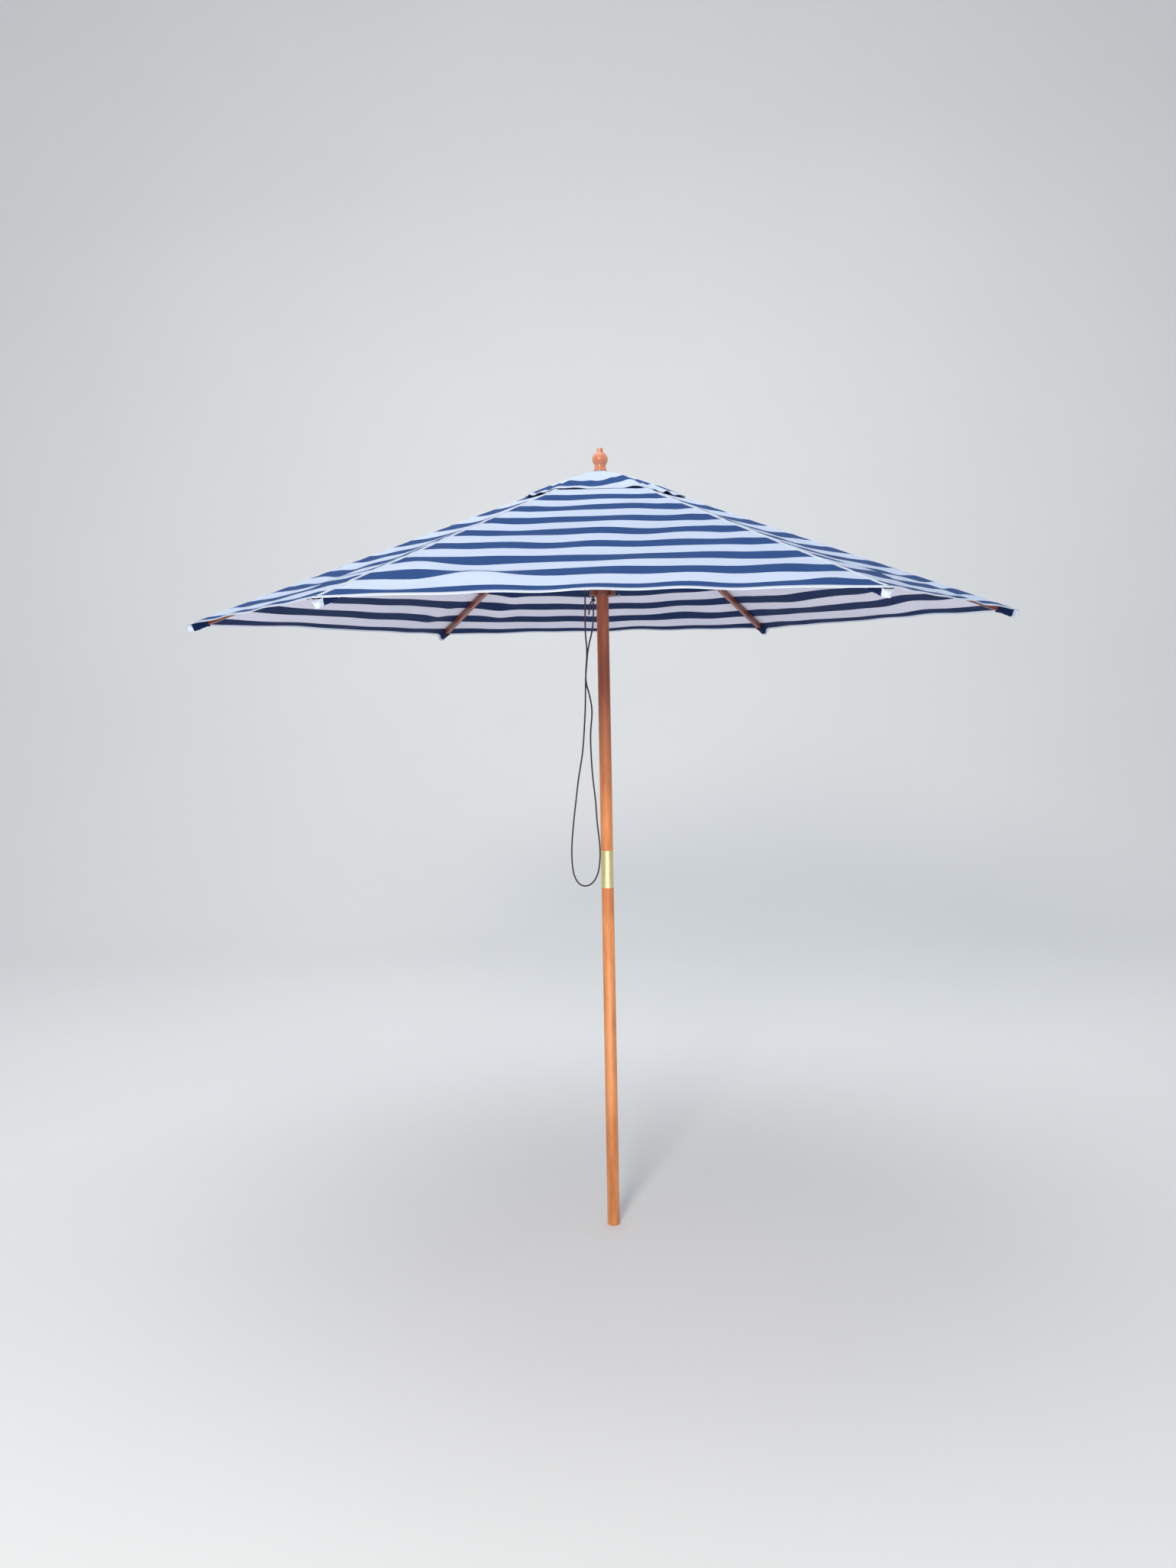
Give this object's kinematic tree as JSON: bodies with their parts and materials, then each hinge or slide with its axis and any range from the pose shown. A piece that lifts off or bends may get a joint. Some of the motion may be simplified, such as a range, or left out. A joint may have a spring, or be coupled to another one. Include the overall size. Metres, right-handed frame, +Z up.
{
  "type": "beach umbrella",
  "caption": "Hexagonal beach umbrella with a two-piece wooden pole, vented striped canopy, folding wooden ribs and struts, pulley lift cord and hold-open pin.",
  "frame": {"origin": "centre of the pole's foot, at the bottom of the object", "axes": "+Z up the pole, +X along one rib, so the canopy's widest corners lie on X"},
  "size_m": [2.6, 2.2548, 2.419],
  "materials": {
    "pole_wood": "oiled satin",
    "hub_wood": "oiled satin",
    "finial_wood": "oiled satin",
    "rib_wood": "oiled satin",
    "brass": "polished, a little worn",
    "brass_screws": "polished",
    "steel": "zinc plated",
    "bracket_steel": "zinc plated",
    "pin_steel": "polished",
    "pulley_nylon": "matte",
    "cord": "braided",
    "canopy_fabric": "woven, striped across each panel",
    "pocket_fabric": "woven"
  },
  "bodies": {
    "lower_mast": {"lower_pole": "pole_wood", "ferrule": "brass", "ferrule_screws": "brass_screws"},
    "mast": {"upper_pole": "pole_wood", "crown_hub": "hub_wood", "hub_pins": "steel", "pulley_axle": "steel", "finial": "finial_wood", "finial_stud": "steel", "finial_washer": "steel", "lift_cord_upper": "cord"},
    "runner": {"runner": "hub_wood", "runner_pins": "steel", "cord_knot": "cord", "lift_cord_loop": "cord"},
    "hold_pin": {"hold_open_pin": "pin_steel"},
    "pulley": {"pulley_wheel": "pulley_nylon"},
    "rib_1": {"rib_1": "rib_wood", "rib_bracket_1": "bracket_steel", "strut_rivet_1": "steel", "canopy_gore_1": "canopy_fabric", "vent_gore_1": "canopy_fabric", "tip_pocket_1": "pocket_fabric"},
    "strut_1": {"strut_1": "rib_wood"},
    "rib_2": {"rib_2": "rib_wood", "rib_bracket_2": "bracket_steel", "strut_rivet_2": "steel", "canopy_gore_2": "canopy_fabric", "vent_gore_2": "canopy_fabric", "tip_pocket_2": "pocket_fabric"},
    "strut_2": {"strut_2": "rib_wood"},
    "rib_3": {"rib_3": "rib_wood", "rib_bracket_3": "bracket_steel", "strut_rivet_3": "steel", "canopy_gore_3": "canopy_fabric", "vent_gore_3": "canopy_fabric", "tip_pocket_3": "pocket_fabric"},
    "strut_3": {"strut_3": "rib_wood"},
    "rib_4": {"rib_4": "rib_wood", "rib_bracket_4": "bracket_steel", "strut_rivet_4": "steel", "canopy_gore_4": "canopy_fabric", "vent_gore_4": "canopy_fabric", "tip_pocket_4": "pocket_fabric"},
    "strut_4": {"strut_4": "rib_wood"},
    "rib_5": {"rib_5": "rib_wood", "rib_bracket_5": "bracket_steel", "strut_rivet_5": "steel", "canopy_gore_5": "canopy_fabric", "vent_gore_5": "canopy_fabric", "tip_pocket_5": "pocket_fabric"},
    "strut_5": {"strut_5": "rib_wood"},
    "rib_6": {"rib_6": "rib_wood", "rib_bracket_6": "bracket_steel", "strut_rivet_6": "steel", "canopy_gore_6": "canopy_fabric", "vent_gore_6": "canopy_fabric", "tip_pocket_6": "pocket_fabric"},
    "strut_6": {"strut_6": "rib_wood"}
  },
  "joints": [
    {"name": "mast_lift", "type": "slide", "parent": "lower_mast", "child": "mast", "axis": [0, 0, 1], "range_m": [0, 0.12]},
    {"name": "runner_slide", "type": "slide", "parent": "mast", "child": "runner", "axis": [0, 0, -1], "range_m": [0, 0.54445], "deforming": ["lift_cord_upper", "canopy_gore_1", "canopy_gore_2", "canopy_gore_3", "canopy_gore_4", "canopy_gore_5", "canopy_gore_6", "vent_gore_1", "vent_gore_2", "vent_gore_3", "vent_gore_4", "vent_gore_5", "vent_gore_6"]},
    {"name": "pin_pull", "type": "slide", "parent": "mast", "child": "hold_pin", "axis": [0.866, -0.5, 0], "range_m": [0, 0.085]},
    {"name": "pulley_spin", "type": "hinge", "parent": "mast", "child": "pulley", "pos_m": [0, 0, 2.262], "axis": [0.5, -0.866, 0], "continuous": true},
    {"name": "rib_1_fold", "type": "hinge", "parent": "mast", "child": "rib_1", "pos_m": [0.036, 0, 2.32592], "axis": [0, 1, 0], "range_deg": [0, 65.8]},
    {"name": "strut_1_fold", "type": "hinge", "parent": "rib_1", "child": "strut_1", "pos_m": [0.44526, 0, 2.15464], "axis": [0, -1, 0], "range_deg": [0, 131.6]},
    {"name": "rib_2_fold", "type": "hinge", "parent": "mast", "child": "rib_2", "pos_m": [0.018, 0.03118, 2.32592], "axis": [-0.866, 0.5, 0], "range_deg": [0, 65.8]},
    {"name": "strut_2_fold", "type": "hinge", "parent": "rib_2", "child": "strut_2", "pos_m": [0.22263, 0.3856, 2.15464], "axis": [0.866, -0.5, 0], "range_deg": [0, 131.6]},
    {"name": "rib_3_fold", "type": "hinge", "parent": "mast", "child": "rib_3", "pos_m": [-0.018, 0.03118, 2.32592], "axis": [-0.866, -0.5, 0], "range_deg": [0, 65.8]},
    {"name": "strut_3_fold", "type": "hinge", "parent": "rib_3", "child": "strut_3", "pos_m": [-0.22263, 0.3856, 2.15464], "axis": [0.866, 0.5, 0], "range_deg": [0, 131.6]},
    {"name": "rib_4_fold", "type": "hinge", "parent": "mast", "child": "rib_4", "pos_m": [-0.036, 0, 2.32592], "axis": [0, -1, 0], "range_deg": [0, 65.8]},
    {"name": "strut_4_fold", "type": "hinge", "parent": "rib_4", "child": "strut_4", "pos_m": [-0.44526, 0, 2.15464], "axis": [0, 1, 0], "range_deg": [0, 131.6]},
    {"name": "rib_5_fold", "type": "hinge", "parent": "mast", "child": "rib_5", "pos_m": [-0.018, -0.03118, 2.32592], "axis": [0.866, -0.5, 0], "range_deg": [0, 65.8]},
    {"name": "strut_5_fold", "type": "hinge", "parent": "rib_5", "child": "strut_5", "pos_m": [-0.22263, -0.3856, 2.15464], "axis": [-0.866, 0.5, 0], "range_deg": [0, 131.6]},
    {"name": "rib_6_fold", "type": "hinge", "parent": "mast", "child": "rib_6", "pos_m": [0.018, -0.03118, 2.32592], "axis": [0.866, 0.5, 0], "range_deg": [0, 65.8]},
    {"name": "strut_6_fold", "type": "hinge", "parent": "rib_6", "child": "strut_6", "pos_m": [0.22263, -0.3856, 2.15464], "axis": [-0.866, -0.5, 0], "range_deg": [0, 131.6]}
  ],
  "couplings": [
    {"joint": "pulley_spin", "follows": "runner_slide", "rad_per_m": -39.216},
    {"joint": "rib_1_fold", "follows": "runner_slide", "rad_per_m": 2.109},
    {"joint": "strut_1_fold", "follows": "runner_slide", "rad_per_m": 4.2181},
    {"joint": "rib_2_fold", "follows": "runner_slide", "rad_per_m": 2.109},
    {"joint": "strut_2_fold", "follows": "runner_slide", "rad_per_m": 4.2181},
    {"joint": "rib_3_fold", "follows": "runner_slide", "rad_per_m": 2.109},
    {"joint": "strut_3_fold", "follows": "runner_slide", "rad_per_m": 4.2181},
    {"joint": "rib_4_fold", "follows": "runner_slide", "rad_per_m": 2.109},
    {"joint": "strut_4_fold", "follows": "runner_slide", "rad_per_m": 4.2181},
    {"joint": "rib_5_fold", "follows": "runner_slide", "rad_per_m": 2.109},
    {"joint": "strut_5_fold", "follows": "runner_slide", "rad_per_m": 4.2181},
    {"joint": "rib_6_fold", "follows": "runner_slide", "rad_per_m": 2.109},
    {"joint": "strut_6_fold", "follows": "runner_slide", "rad_per_m": 4.2181}
  ]
}
